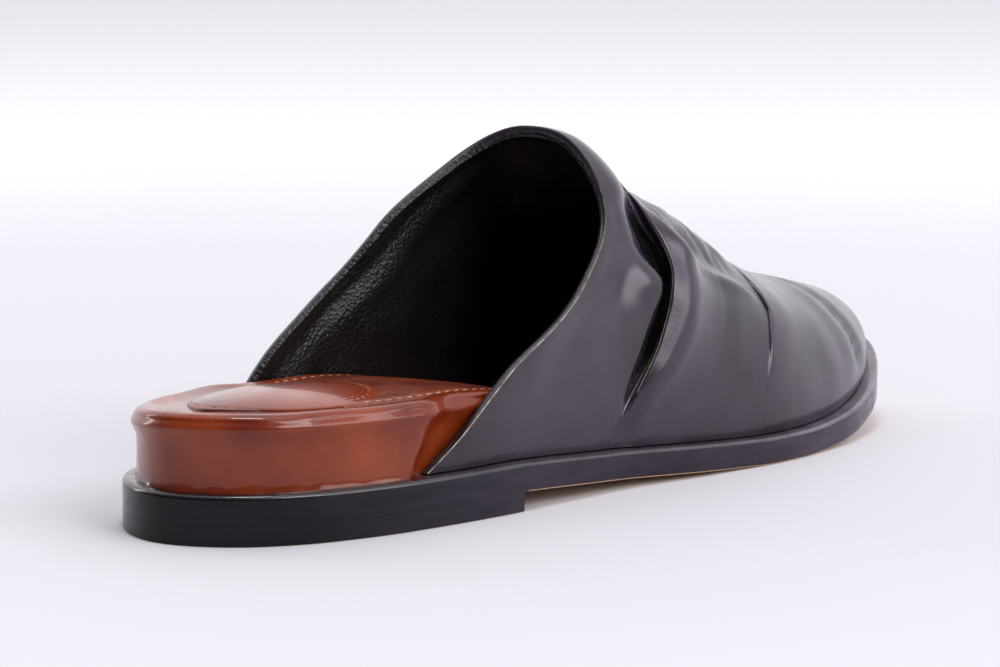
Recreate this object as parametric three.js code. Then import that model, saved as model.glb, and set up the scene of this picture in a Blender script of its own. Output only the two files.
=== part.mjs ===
// A backless leather mule for the right foot: a black sole with a heel lift, a wrapped
// footbed with its insole cover and heel cushion, and a draped upper with two tucks.
import * as THREE from "three";

// Driving sizes in millimetres. The toe points along +Y and the outer side along +X.
const soleLength = 265;
const ballWidth = 90;
const heelWidth = 68;
const heelLength = 82.5;       // back of the heel to its breast
const heelHeight = 4.6;        // lift under the back of the sole
const soleThickness = 6.9;
const toeSpring = 15;
const footbedHeight = 17;      // above the sole, at the heel
const crownHeight = 76;        // mouth of the upper above the sole
const wall = 2.2;              // upper leather with its lining
const ledge = 2.4;             // sole left bare round the footbed
const feather = 3.2;           // sole left bare round the upper
const coverThickness = 1.2;
const cushionHeight = 2.4;
const gap = 0.3;               // left between curved pieces
const edgeRound = 0.8;
const rimRound = 3.2;
const rimShoulder = 0.29;      // share of the rim's round where its slope halves
const tuckHeight = 3;          // how far the rear tuck stands out

// Places along the sole, from the back of the heel to the tip of the toe.
const ballStart = 172;
const ballEnd = 187;
const blendStart = 66;         // where the heel's width begins to widen to the ball's
const blendEnd = 159;
const bendStart = 119;         // where the centre line begins to bend inward
const toeBend = -6.7;
const heelCentre = 3.6;        // heel's centre line beside the middle of the box
const archCurve = 1.15;        // how soon the sole leaves the heel's height
const springCurve = 1.8;       // how late the toe lifts

// Half widths of the sole, as shares of half the heel or ball width.
const outline = [
  { at: 0, lateral: 0, medial: 0 },
  { at: 0.05, lateral: 0.66, medial: 0.68 },
  { at: 0.1, lateral: 0.86, medial: 0.85 },
  { at: 0.18, lateral: 1.01, medial: 0.955 },
  { at: 0.28, lateral: 1.08, medial: 0.93 },
  { at: 0.38, lateral: 0.985, medial: 0.79 },
  { at: 0.48, lateral: 0.895, medial: 0.74 },
  { at: 0.58, lateral: 0.92, medial: 0.825 },
  { at: 0.68, lateral: 0.965, medial: 1 },
  { at: 0.78, lateral: 0.925, medial: 1.045 },
  { at: 0.86, lateral: 0.8, medial: 0.955 },
  { at: 0.93, lateral: 0.585, medial: 0.755 },
  { at: 0.97, lateral: 0.4, medial: 0.545 },
  { at: 1, lateral: 0, medial: 0 },
];

// Thickness of the footbed, as shares of its height at the heel.
const footbedProfile = [
  { at: 0, share: 1 },
  { at: 0.25, share: 1 },
  { at: 0.35, share: 0.87 },
  { at: 0.46, share: 0.6 },
  { at: 0.66, share: 0.42 },
  { at: 0.85, share: 0.36 },
  { at: 1, share: 0.34 },
];

// Crown of the upper above the sole, as shares of its height at the mouth, by how far
// it is from the mouth's apex to the toe.
const crown = [
  { ahead: -0.6, share: 0.95 },
  { ahead: -0.25, share: 0.99 },
  { ahead: 0, share: 1 },
  { ahead: 0.15, share: 0.81 },
  { ahead: 0.3, share: 0.685 },
  { ahead: 0.45, share: 0.565 },
  { ahead: 0.6, share: 0.452 },
  { ahead: 0.75, share: 0.36 },
  { ahead: 0.87, share: 0.265 },
  { ahead: 0.945, share: 0.18 },
  { ahead: 1, share: 0 },
];

// Mouth edge: distance from its base to its apex at each share of the height.
const mouthBase = 50;
const mouthApex = 130.4;
const mouth = [
  { height: 0, lateral: 0.072, medial: -0.046 },
  { height: 0.27, lateral: 0.387, medial: 0.141 },
  { height: 0.52, lateral: 0.764, medial: 0.445 },
  { height: 0.72, lateral: 0.929, medial: 0.639 },
  { height: 0.88, lateral: 0.979, medial: 0.858 },
  { height: 1, lateral: 1, medial: 1 },
];

// Each tuck's edge, in millimetres ahead of the mouth's apex, and its strength, by
// degrees round the section from the outer side.
const rearTuck = [
  { turn: 0, ahead: -9.4, strength: 0 },
  { turn: 5, ahead: -3, strength: 0.25 },
  { turn: 12, ahead: 4.6, strength: 0.8 },
  { turn: 22, ahead: 10, strength: 1 },
  { turn: 34, ahead: 13, strength: 1 },
  { turn: 42, ahead: 12.4, strength: 1 },
  { turn: 47, ahead: 11.9, strength: 0.8 },
  { turn: 53, ahead: 11.4, strength: 0.3 },
  { turn: 60, ahead: 11, strength: 0.05 },
  { turn: 76, ahead: 11.5, strength: 0 },
  { turn: 96, ahead: 12.6, strength: 0 },
  { turn: 180, ahead: -2.4, strength: 0 },
];
const frontTuck = [
  { turn: 0, ahead: 40.6, strength: 0 },
  { turn: 10, ahead: 43, strength: 0.35 },
  { turn: 22, ahead: 47.3, strength: 0.8 },
  { turn: 36, ahead: 51.8, strength: 0.9 },
  { turn: 52, ahead: 53, strength: 0.6 },
  { turn: 72, ahead: 54.2, strength: 0.2 },
  { turn: 100, ahead: 55, strength: 0 },
  { turn: 180, ahead: 49.6, strength: 0 },
];

// Section of each tuck: distance from its edge when flat and when folded, and its rise
// outside and inside as shares of the tuck height.
const rearFold = [
  { flat: -13, folded: -13, outside: 0, inside: 0 },
  { flat: -8.5, folded: -8, outside: -0.25, inside: -0.1 },
  { flat: -5, folded: -3.5, outside: -0.6, inside: -0.35 },
  { flat: -3, folded: 0.4, outside: -0.7, inside: -0.45 },
  { flat: -2, folded: 0.7, outside: -0.4, inside: -0.42 },
  { flat: -1.2, folded: -0.7, outside: 0.1, inside: -0.38 },
  { flat: -0.6, folded: -1, outside: 0.5, inside: -0.3 },
  { flat: 0, folded: -0.4, outside: 0.8, inside: -0.22 },
  { flat: 2, folded: 2, outside: 0.9, inside: -0.1 },
  { flat: 7, folded: 7, outside: 0.7, inside: 0 },
  { flat: 14, folded: 14, outside: 0.25, inside: 0 },
  { flat: 20, folded: 20, outside: 0, inside: 0 },
];
const frontFold = [
  { flat: -12, folded: -12, outside: 0, inside: 0 },
  { flat: -5, folded: -5, outside: -0.2, inside: -0.1 },
  { flat: -1.2, folded: -1.2, outside: -0.32, inside: -0.2 },
  { flat: 0.4, folded: 0.2, outside: 0.2, inside: -0.1 },
  { flat: 2.5, folded: 2.5, outside: 0.3, inside: 0 },
  { flat: 7, folded: 7, outside: 0.16, inside: 0 },
  { flat: 14, folded: 14, outside: 0, inside: 0 },
];

// Shape of the section and of its lean, at the mouth and at the toe.
const fullness = { mouth: 0.85, toe: 0.88 };
const roundness = { mouth: 0.7, toe: 0.8 };
const crownLean = -6.7;

// Soft dents in the crown between the tucks, ahead of the mouth's apex; a crest is below 0.
const dents = [
  { from: 15, to: 53, turn: 50, spread: 11, depth: 1.1 },
  { from: 12, to: 54, turn: 68, spread: 26, depth: -2.4 },
];

// Insole cover and heel cushion on top of the footbed.
const coverBack = 15;          // sole left bare behind the cover
const coverSide = 8.5;         // and beside it at the heel
const coverEdge = 3.4;         // footbed left bare beside it further forward
const coverSpread = { from: 45, over: 30 };
const coverRound = 0.4;        // share of the cover's thickness that its edge rounds off
const cushion = { back: 19.5, front: 62, halfWidth: 21, centre: 0.5, skirt: 0.5, points: 36 };
const domeSteps = [0, 0.25, 0.5, 0.75, 1];
const domeArc = 1.45;          // radians of a round that the dome's side runs over
const clearance = 0.9;         // between the footbed's sides and the upper
const toeDraw = 5;             // how much further the footbed is drawn in at the toe

// Where the footbed's sides turn in under the mouth, at its foot and at its top.
const turnIn = {
  lateral: { foot: { from: 49.6, to: 52.2 }, top: { from: 54.2, to: 64.4 } },
  medial: { foot: { from: 39, to: 42.5 }, top: { from: 42, to: 52 } },
};

const clamp = (value) => Math.min(Math.max(value, 0), 1);
const mix = (from, to, share) => from + (to - from) * share;
const ease = (value) => clamp(value) ** 2 * (3 - 2 * clamp(value));

// Smooth curve through a table's column that never swings past its values.
function through(rows, place, column) {
  const slopes = rows.slice(1).map((row, i) =>
    (row[column] - rows[i][column]) / (row[place] - rows[i][place]));
  const tangents = rows.map((row, i) => {
    const before = slopes[Math.max(i - 1, 0)];
    const after = slopes[Math.min(i, slopes.length - 1)];
    return before * after > 0 ? (2 * before * after) / (before + after) : 0;
  });
  tangents[0] = slopes[0];
  tangents[rows.length - 1] = slopes[slopes.length - 1];
  return (value) => {
    const next = rows.findIndex((row) => row[place] >= value);
    const i = next < 0 ? rows.length - 2 : Math.max(next - 1, 0);
    const span = rows[i + 1][place] - rows[i][place];
    const t = clamp((value - rows[i][place]) / span);
    const low = rows[i][column] * (1 + 2 * t) * (1 - t) ** 2 + rows[i + 1][column] * t * t * (3 - 2 * t);
    return low + span * (tangents[i] * t * (1 - t) ** 2 - tangents[i + 1] * t * t * (1 - t));
  };
}

// Same, for a column that closes round to nothing: its square runs through the table.
function roundThrough(rows, place, column) {
  const squared = rows.map((row) => ({ [place]: row[place], square: row[column] ** 2 }));
  const curve = through(squared, place, "square");
  return (value) => Math.sqrt(Math.max(curve(value), 0));
}

const lateralShare = roundThrough(outline, "at", "lateral");
const medialShare = roundThrough(outline, "at", "medial");
const footbedShare = through(footbedProfile, "at", "share");
const crownShare = roundThrough(crown, "ahead", "share");

const toAlong = (y) => y + soleLength / 2;
const toY = (along) => along - soleLength / 2;
const halfWidth = (along) =>
  mix(heelWidth, ballWidth, ease((along - blendStart) / (blendEnd - blendStart))) / 2;
const centreLine = (along) =>
  heelCentre + toeBend * clamp((along - bendStart) / (soleLength - bendStart)) ** 2;

// Sole underside at a distance along it: flat at the heel and the ball, up at the toe.
function soleBottom(along) {
  const waist = clamp((along - heelLength) / (ballStart - heelLength));
  const toe = clamp((along - ballEnd) / (soleLength - ballEnd));
  return heelHeight * (1 - waist) ** archCurve + toeSpring * toe ** springCurve;
}
const soleTop = (along) => soleBottom(along) + soleThickness;
const footbedTop = (along) => soleTop(along) + gap + footbedHeight * footbedShare(along / soleLength);

const sides = {
  lateral: { sign: 1, share: lateralShare },
  medial: { sign: -1, share: medialShare },
};

// Place on the outline of one side at a share of its length, as across and along.
function outlineAt(station, side) {
  const along = station * soleLength;
  const half = halfWidth(along) * sides[side].share(station);
  return new THREE.Vector2(centreLine(along) + sides[side].sign * half, along);
}

// The same place drawn in square to the outline, at the height of a level.
function edgePoint(station, side, inset, level) {
  const step = 0.0005;
  const place = outlineAt(station, side);
  const before = outlineAt(Math.max(station - step, 0), side);
  const ahead = outlineAt(Math.min(station + step, 1), side).sub(before).normalize();
  const inward = new THREE.Vector2(-ahead.y, ahead.x).multiplyScalar(sides[side].sign);
  if (station === 0 || station === 1) {
    inward.set(0, 1 - 2 * station);
  }
  place.addScaledVector(inward, inset);
  return new THREE.Vector3(place.x, toY(place.y), level(place.y));
}
const pairAt = (station, inset, level) => [
  edgePoint(station, "lateral", inset, level),
  edgePoint(station, "medial", inset, level),
];

// Shares from 0 to 1 that crowd toward a rounded end.
const spaced = (count) => Array.from({ length: count + 1 }, (_, i) => i / count);
const crowdStart = (count) => spaced(count).map((share) => 1 - Math.cos((share * Math.PI) / 2));
const crowdEnd = (count) => crowdStart(count).map((share) => 1 - share).reverse();
function stretch(shares, from, to) {
  return shares.map((share) => mix(from, to, share));
}
const breastShare = heelLength / soleLength;
const ballShares = { start: ballStart / soleLength, end: ballEnd / soleLength };
const steps = { heel: 16, waist: 8, ball: 2, toe: 12 };
const heelStations = stretch(crowdStart(steps.heel), 0, breastShare);
const soleStations = [
  ...heelStations,
  ...stretch(spaced(steps.waist), breastShare, ballShares.start).slice(1),
  ...stretch(spaced(steps.ball), ballShares.start, ballShares.end).slice(1),
  ...stretch(crowdEnd(steps.toe), ballShares.end, 1).slice(1),
];

// Closed loop up the outer side and back down the inner one, its rounded ends one point.
function loopOf(pairs) {
  const same = ([a, b]) => a.distanceTo(b) < 0.001;
  const inner = pairs.map((pair) => pair[1]);
  if (same(pairs[pairs.length - 1])) {
    inner.pop();
  }
  return [...pairs.map((pair) => pair[0]), ...inner.slice(1).reverse()];
}

// Skin between loops stacked from the lowest up, with both ends closed across.
function stack(loops) {
  const size = loops[0].length;
  const triangles = [];
  const face = (a, b, c) => {
    if (a !== b && b !== c && c !== a) {
      triangles.push(a, b, c);
    }
  };
  for (let level = 0; level < loops.length - 1; level += 1) {
    for (let i = 0; i < size; i += 1) {
      const next = (i + 1) % size;
      const a = level * size + i;
      const b = level * size + next;
      face(a, b, b + size);
      face(a, b + size, a + size);
    }
  }
  const top = (loops.length - 1) * size;
  const half = Math.ceil(size / 2);
  for (let i = 0; i < half; i += 1) {
    const across = (size - i) % size;
    const acrossNext = size - i - 1;
    if (acrossNext < i + 1) {
      break;
    }
    face(i, acrossNext, i + 1);
    face(i, across, acrossNext);
    face(top + i, top + i + 1, top + acrossNext);
    face(top + i, top + acrossNext, top + across);
  }
  return solid(loops.flat(), triangles);
}

function solid(points, triangles) {
  const geometry = new THREE.BufferGeometry();
  const places = points.flatMap((point) => point.toArray());
  geometry.setAttribute("position", new THREE.Float32BufferAttribute(places, 3));
  geometry.setIndex(triangles);
  return geometry;
}

const part = new THREE.Group();
function add(name, geometry, colour) {
  const flat = geometry.toNonIndexed();
  flat.computeVertexNormals();
  const mesh = new THREE.Mesh(flat, new THREE.MeshStandardMaterial({ color: colour, roughness: 0.5 }));
  mesh.name = name;
  part.add(mesh);
}

// Outsole: one black layer that follows the arch and the toe spring, edges eased.
const soleLoop = (inset, level) => loopOf(soleStations.map((station) => pairAt(station, inset, level)));
add("outsole", stack([
  soleLoop(edgeRound, soleBottom),
  soleLoop(0, (along) => soleBottom(along) + edgeRound),
  soleLoop(0, (along) => soleTop(along) - edgeRound),
  soleLoop(edgeRound, soleTop),
]), 0x1b1a1f);

// Heel lift: a low stacked heel with a straight breast.
const liftLoop = (inset, height) =>
  loopOf(heelStations.map((station) => pairAt(station, inset, () => height)));
const liftTop = heelHeight - gap;
add("heel_lift", stack([
  liftLoop(edgeRound, 0),
  liftLoop(0, edgeRound),
  liftLoop(0, liftTop - edgeRound / 2),
  liftLoop(edgeRound / 2, liftTop),
]), 0x17161a);

// Footbed: a wrapped block, flush round the heel and drawn in where the upper takes it.
const innerInset = feather + wall + clearance;
function toeInset(station) {
  const along = station * soleLength;
  return innerInset + toeDraw * ease((along - ballEnd) / (soleLength - ballEnd));
}
function footbedInset(station, side, height) {
  const { foot, top } = turnIn[side];
  const from = mix(foot.from, top.from, height);
  const to = mix(foot.to, top.to, height);
  return mix(ledge, toeInset(station), ease((station * soleLength - from) / (to - from)));
}
function footbedLoop(extra, height, drop) {
  const level = (along) => mix(soleTop(along) + gap, footbedTop(along), height) - drop;
  return loopOf(soleStations.map((station) => ["lateral", "medial"].map((side) =>
    edgePoint(station, side, footbedInset(station, side, height) + extra, level))));
}
add("footbed", stack([
  footbedLoop(0, 0, 0),
  footbedLoop(0, 1, rimRound),
  footbedLoop(rimRound * rimShoulder, 1, rimRound * rimShoulder),
  footbedLoop(rimRound, 1, 0),
]), 0x8a3d22);

// Insole cover: an oval at the heel that spreads to the footbed's rim further forward.
function coverInset(station) {
  const along = station * soleLength;
  const heel = mix(coverBack, coverSide, ease(along / cushion.front));
  return mix(heel, toeInset(station) + coverEdge, ease((along - coverSpread.from) / coverSpread.over));
}
const coverLoop = (extra, rise) => loopOf(soleStations.map((station) =>
  pairAt(station, coverInset(station) + extra, (along) => footbedTop(along) + gap + rise)));
add("insole_cover", stack([
  coverLoop(0, 0),
  coverLoop(0, coverThickness * (1 - coverRound)),
  coverLoop(coverThickness * coverRound, coverThickness),
]), 0x7d3420);

// Heel cushion: a low oval dome sewn on the cover.
function cushionLoop(share, rise) {
  const middle = (cushion.back + cushion.front) / 2;
  const half = (cushion.front - cushion.back) / 2;
  const base = footbedTop(middle) + coverThickness + 2 * gap;
  return Array.from({ length: cushion.points }, (_, i) => {
    const angle = (i / cushion.points) * 2 * Math.PI - Math.PI / 2;
    return new THREE.Vector3(
      heelCentre + cushion.centre + cushion.halfWidth * share * Math.cos(angle),
      toY(middle) + half * share * Math.sin(angle),
      base + rise,
    );
  });
}
const domeLoop = (angle) =>
  cushionLoop(Math.cos(angle), mix(cushion.skirt, cushionHeight, Math.sin(angle)));
add("heel_cushion", stack([
  cushionLoop(1, 0),
  ...domeSteps.map((step) => domeLoop(step * domeArc)),
]), 0x9a4a30);

// Upper: one draped wall. Its outside is worked out round the section and along the foot.
const upperEnd = soleLength - feather;
const upperSteps = { round: 44, mouth: 6, middle: 3, toe: 12, featherLine: 90 };
const foldRoom = 0.75;         // most of the way back to the last fold that a fold may take
const foldReach = { from: 2, over: 6 };  // behind a tuck's edge, where its rows are drawn up
const lateralMouth = through(mouth, "height", "lateral");
const medialMouth = through(mouth, "height", "medial");
const degrees = (turn) => (turn * 180) / Math.PI;
const rearAhead = through(rearTuck, "turn", "ahead");
const rearStrength = through(rearTuck, "turn", "strength");
const frontAhead = through(frontTuck, "turn", "ahead");
const frontStrength = through(frontTuck, "turn", "strength");
const toeward = (along) => (along - mouthApex) / (upperEnd - mouthApex);

// Half width of one side of the sole inside its feather line, by distance along it.
function featherHalf(side) {
  const rows = spaced(upperSteps.featherLine).map((share) => {
    const station = (1 - Math.cos(share * Math.PI)) / 2;
    const place = edgePoint(station, side, feather, soleTop);
    const at = toAlong(place.y);
    return { at, half: Math.abs(place.x - centreLine(at)) };
  });
  rows[0].half = 0;
  rows[rows.length - 1].half = 0;
  return roundThrough(rows, "at", "half");
}
const lateralFeather = featherHalf("lateral");
const medialFeather = featherHalf("medial");

function upperPoint(along, turn) {
  const reach = Math.min(along, upperEnd - 0.001);
  const lateral = centreLine(reach) + lateralFeather(reach);
  const medial = centreLine(reach) - medialFeather(reach);
  const sine = Math.max(Math.sin(turn), 0);
  const cosine = Math.cos(turn);
  const toe = clamp(toeward(reach));
  const across = Math.sign(cosine) * Math.abs(cosine) ** mix(fullness.mouth, fullness.toe, toe);
  const up = sine ** mix(roundness.mouth, roundness.toe, toe);
  const lean = crownLean * (1 - toe) ** 2 * sine ** 2;
  const height = crownHeight * crownShare(toeward(reach));
  return new THREE.Vector3(
    (lateral + medial) / 2 + ((lateral - medial) / 2) * across + lean,
    toY(reach),
    soleTop(reach) + gap + height * up,
  );
}

// Direction straight out of the upper's wall.
function upperNormal(along, turn) {
  const step = 0.01;
  const place = Math.min(along, upperEnd - 0.4);
  const round = Math.min(Math.max(turn, step), Math.PI - step);
  const ahead = upperPoint(place + 0.2, round).sub(upperPoint(place - 0.2, round));
  const around = upperPoint(place, round + step).sub(upperPoint(place, round - step));
  return ahead.cross(around).normalize();
}

// How far the crown's leather sinks below the last.
function sagAt(along, turn) {
  return dents.reduce((sag, dent) => {
    const middle = (dent.from + dent.to) / 2;
    const lengthwise = 1 - clamp(Math.abs(along - mouthApex - middle) / (dent.to - middle)) ** 2;
    const crosswise = ease(1 - Math.abs(degrees(turn) - dent.turn) / dent.spread);
    return sag + dent.depth * lengthwise * crosswise;
  }, 0);
}

// One column of the upper from the mouth to the toe, as places with their rises.
function column(turn) {
  const angle = degrees(turn);
  const up = Math.sin(turn) ** roundness.mouth;
  const side = turn < Math.PI / 2 ? lateralMouth : medialMouth;
  const start = mix(mouthBase, mouthApex, side(up));
  const folds = [
    { rows: rearFold, at: mouthApex + rearAhead(angle), strength: rearStrength(angle) },
    { rows: frontFold, at: mouthApex + frontAhead(angle), strength: frontStrength(angle) },
  ];
  const places = [];
  const put = (along, outside = 0, inside = 0) => {
    const sag = sagAt(along, turn);
    places.push({ along, outside: tuckHeight * outside - sag, inside: tuckHeight * inside - sag });
  };
  let from = start;
  folds.forEach(({ rows, at, strength }, index) => {
    const room = Math.min(-rows[0].flat, (at - from) * foldRoom);
    const shrink = room / -rows[0].flat;
    const count = index === 0 ? upperSteps.mouth : upperSteps.middle;
    stretch(spaced(count), from, at - room).slice(0, -1).forEach((along) => put(along));
    rows.forEach((row) => {
      const offset = mix(row.flat, row.folded, strength);
      const drawn = clamp((-offset - foldReach.from) / foldReach.over);
      const near = offset * mix(1, shrink, drawn);
      put(at + near, row.outside * strength, row.inside * strength);
    });
    from = at + rows[rows.length - 1].flat;
  });
  stretch(crowdEnd(upperSteps.toe), from, upperEnd).slice(1).forEach((along) => put(along));
  return places;
}

function drapedUpper() {
  const turns = spaced(upperSteps.round).map((share) => share * Math.PI);
  const outer = [];
  const inner = [];
  turns.forEach((turn) => {
    const places = column(turn);
    outer.push(places.map(({ along, outside }) =>
      upperPoint(along, turn).addScaledVector(upperNormal(along, turn), outside)));
    inner.push(places.map(({ along, inside }) =>
      upperPoint(along, turn).addScaledVector(upperNormal(along, turn), inside - wall)));
  });
  const rows = outer[0].length;
  const tip = upperPoint(upperEnd, Math.PI / 2);
  outer.forEach((line) => {
    line[rows - 1] = tip;
  });
  const innerTip = tip.clone().add(new THREE.Vector3(0, -wall, 0));
  inner.forEach((line) => {
    line[rows - 1] = innerTip;
  });
  const points = [...outer.flat(), ...inner.flat()];
  const triangles = [];
  const out = (i, j) => i * rows + j;
  const within = (i, j) => (turns.length + i) * rows + j;
  const quad = (a, b, c, d) => {
    [[a, b, c], [a, c, d]].forEach(([p, q, r]) => {
      const flat = points[p] === points[q] || points[q] === points[r] || points[r] === points[p];
      if (!flat) {
        triangles.push(p, q, r);
      }
    });
  };
  for (let i = 0; i < turns.length - 1; i += 1) {
    for (let j = 0; j < rows - 1; j += 1) {
      quad(out(i, j), out(i, j + 1), out(i + 1, j + 1), out(i + 1, j));
      quad(within(i, j), within(i + 1, j), within(i + 1, j + 1), within(i, j + 1));
    }
    quad(out(i, 0), out(i + 1, 0), within(i + 1, 0), within(i, 0));
  }
  const last = turns.length - 1;
  for (let j = 0; j < rows - 1; j += 1) {
    quad(out(0, j), within(0, j), within(0, j + 1), out(0, j + 1));
    quad(out(last, j), out(last, j + 1), within(last, j + 1), within(last, j));
  }
  return solid(points, triangles);
}
add("upper", drapedUpper(), 0x25232b);

export default part;
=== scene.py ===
# A backless leather mule for the right foot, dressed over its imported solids.
# The toe points along +Y, the outer side along +X, and the floor is z = 0.
import math

import bpy
import numpy as np
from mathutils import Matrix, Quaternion, Vector, noise


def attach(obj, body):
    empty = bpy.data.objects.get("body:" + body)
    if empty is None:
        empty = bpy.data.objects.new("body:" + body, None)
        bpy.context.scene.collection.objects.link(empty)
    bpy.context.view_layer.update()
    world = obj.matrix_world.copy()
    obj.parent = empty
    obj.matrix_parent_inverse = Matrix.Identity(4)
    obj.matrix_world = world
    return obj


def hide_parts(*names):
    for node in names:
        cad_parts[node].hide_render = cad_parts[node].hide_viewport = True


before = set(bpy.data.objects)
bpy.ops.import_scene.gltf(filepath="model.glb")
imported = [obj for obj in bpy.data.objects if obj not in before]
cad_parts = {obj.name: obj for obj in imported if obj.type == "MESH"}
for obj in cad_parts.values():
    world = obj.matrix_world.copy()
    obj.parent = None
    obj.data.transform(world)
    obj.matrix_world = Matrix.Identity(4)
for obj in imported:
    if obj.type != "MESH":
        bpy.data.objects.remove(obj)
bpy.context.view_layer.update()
mm = 0.001


# Outsole: one layer of sole leather that follows the arch and the toe spring. Its edge
# is trimmed square, inked black and burnished, and its underside is left natural tan.

# Sizes in millimetres, places along the sole counted from the back of the heel.
sole_length = 265
ball_width = 90
heel_width = 68
heel_length = 82.5
heel_height = 4.6
sole_thickness = 6.9
toe_spring = 15
ball_start = 172
ball_end = 187
blend_start = 66
blend_end = 159
bend_start = 119
arch_curve = 1.15
spring_curve = 1.8
toe_bend = -6.7
heel_centre = 3.6
gap = 0.3
outer_outline = [
    (0, 0), (0.05, 0.66), (0.1, 0.86), (0.18, 1.01), (0.28, 1.08), (0.38, 0.985), (0.48, 0.895),
    (0.58, 0.92), (0.68, 0.965), (0.78, 0.925), (0.86, 0.8), (0.93, 0.585), (0.97, 0.4), (1, 0)]
inner_outline = [
    (0, 0), (0.05, 0.68), (0.1, 0.85), (0.18, 0.955), (0.28, 0.93), (0.38, 0.79), (0.48, 0.74),
    (0.58, 0.825), (0.68, 1), (0.78, 1.045), (0.86, 0.955), (0.93, 0.755), (0.97, 0.545), (1, 0)]


def fair_curve(rows, rounded=False):
    """Smooth curve through a table that never swings past its values."""
    at = np.array([row[0] for row in rows], float)
    value = np.array([row[1] for row in rows], float)
    if rounded:
        value = value ** 2
    slope = np.diff(value) / np.diff(at)
    both = slope[:-1] * slope[1:]
    total = slope[:-1] + slope[1:]
    middle = np.where(both > 0, 2 * both / np.where(both > 0, total, 1), 0)
    tangent = np.concatenate([slope[:1], middle, slope[-1:]])

    def curve(x):
        x = np.clip(x, at[0], at[-1])
        i = np.clip(np.searchsorted(at, x) - 1, 0, len(at) - 2)
        span = at[i + 1] - at[i]
        t = (x - at[i]) / span
        y = value[i] * (1 + 2 * t) * (1 - t) ** 2 + value[i + 1] * t * t * (3 - 2 * t)
        y = y + span * (tangent[i] * t * (1 - t) ** 2 - tangent[i + 1] * t * t * (1 - t))
        return np.sqrt(np.maximum(y, 0)) if rounded else y

    return curve


def ease(value):
    """Share from none to all that starts and stops softly."""
    value = np.clip(value, 0, 1)
    return value * value * (3 - 2 * value)


def mix(low, high, share):
    """Value part of the way from one to another."""
    return low + (high - low) * share


def hump(value, middle, width):
    """Soft ridge across a value, one high at its middle."""
    return np.exp(-((value - middle) / width) ** 2)


def half_width(along):
    """Half of the sole's full width, by distance from the back of the heel."""
    return mix(heel_width, ball_width, ease((along - blend_start) / (blend_end - blend_start))) / 2


def centre_line(along):
    """Middle of the sole from side to side, which bends inward toward the toe."""
    bend = np.clip((along - bend_start) / (sole_length - bend_start), 0, 1)
    return heel_centre + toe_bend * bend ** 2


def sole_bottom(along):
    """Height of the underside, which rises over the arch and again at the toe."""
    waist = np.clip((along - heel_length) / (ball_start - heel_length), 0, 1)
    toe = np.clip((along - ball_end) / (sole_length - ball_end), 0, 1)
    return heel_height * (1 - waist) ** arch_curve + toe_spring * toe ** spring_curve


def sole_top(along):
    """Height of the sole's upper face."""
    return sole_bottom(along) + sole_thickness


side_share = {1: fair_curve(outer_outline, True), -1: fair_curve(inner_outline, True)}


def edge_place(station, side, inset):
    """Places on the sole's edge, drawn in square to it, as across and along."""
    def outline(at):
        along = at * sole_length
        half = half_width(along) * np.where(side > 0, side_share[1](at), side_share[-1](at))
        return np.stack([centre_line(along) + side * half, along], -1)
    step = 0.0005
    ahead = outline(np.minimum(station + step, 1)) - outline(np.maximum(station - step, 0))
    ahead /= np.linalg.norm(ahead, axis=-1, keepdims=True)
    inward = np.asarray(side)[..., None] * np.stack([-ahead[..., 1], ahead[..., 0]], -1)
    inward[station <= 0] = (0, 1)
    inward[station >= 1] = (0, -1)
    return outline(station) + inward * np.asarray(inset)[..., None]


# Columns that go round a block: up the outer side to the toe and back down the inner one.
stations = (1 - np.cos(np.linspace(0, 1, 161) * math.pi)) / 2
round_stations = np.concatenate([stations, stations[::-1]])
round_sides = np.repeat([1, -1], len(stations))


def ring(inset, level, share=0.0, at=None, sides=None):
    """One row round a block: how far in from the sole's edge, how high, how near its middle."""
    at = round_stations if at is None else at
    sides = round_sides if sides is None else sides
    place = edge_place(at, sides, inset + np.zeros(len(at)))
    middle = (place + place[::-1]) / 2
    place = mix(place, middle, share)
    height = level(place[:, 1]) if callable(level) else level + np.zeros(len(at))
    return np.column_stack([place[:, 0], place[:, 1] - sole_length / 2, height])


def wrap(name, rings):
    """A grid laid round a block and over its profile, its seams merged."""
    bpy.ops.object.select_all(action="DESELECT")
    columns, rows = len(rings[0]) - 1, len(rings) - 1
    bpy.ops.mesh.primitive_grid_add(x_subdivisions=columns, y_subdivisions=rows, size=1)
    piece = bpy.context.active_object
    piece.name = name
    flat = np.array([vertex.co[:] for vertex in piece.data.vertices]) + 0.5
    column = np.round(flat[:, 0] * columns).astype(int)
    row = np.round(flat[:, 1] * rows).astype(int)
    piece.data.vertices.foreach_set("co", (np.array(rings)[row, column] * mm).ravel())
    mark = piece.data.attributes.new("row", "FLOAT", "POINT")
    mark.data.foreach_set("value", row.astype(float))
    bpy.ops.object.mode_set(mode="EDIT")
    bpy.ops.mesh.select_all(action="SELECT")
    bpy.ops.mesh.remove_doubles(threshold=0.004 * mm)
    bpy.ops.mesh.normals_make_consistent(inside=False)
    bpy.ops.object.mode_set(mode="OBJECT")
    bpy.ops.object.shade_smooth_by_angle(angle=math.radians(60))
    return piece


def settle(piece, node):
    """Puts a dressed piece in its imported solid's place."""
    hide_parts(node)
    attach(piece, "root")


def new_leather(name, base, roughness, **sockets):
    """A material with its nodes, links, shader and surface coordinates."""
    leather = bpy.data.materials.new(name)
    leather.use_nodes = True
    nodes = leather.node_tree.nodes
    shader = nodes["Principled BSDF"]
    shader.inputs["Base Color"].default_value = (*base, 1)
    shader.inputs["Roughness"].default_value = roughness
    for socket, value in sockets.items():
        shader.inputs[socket.replace("_", " ")].default_value = value
    place = nodes.new("ShaderNodeTexCoord")
    return leather, nodes, leather.node_tree.links, shader, place.outputs["Object"]


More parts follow.
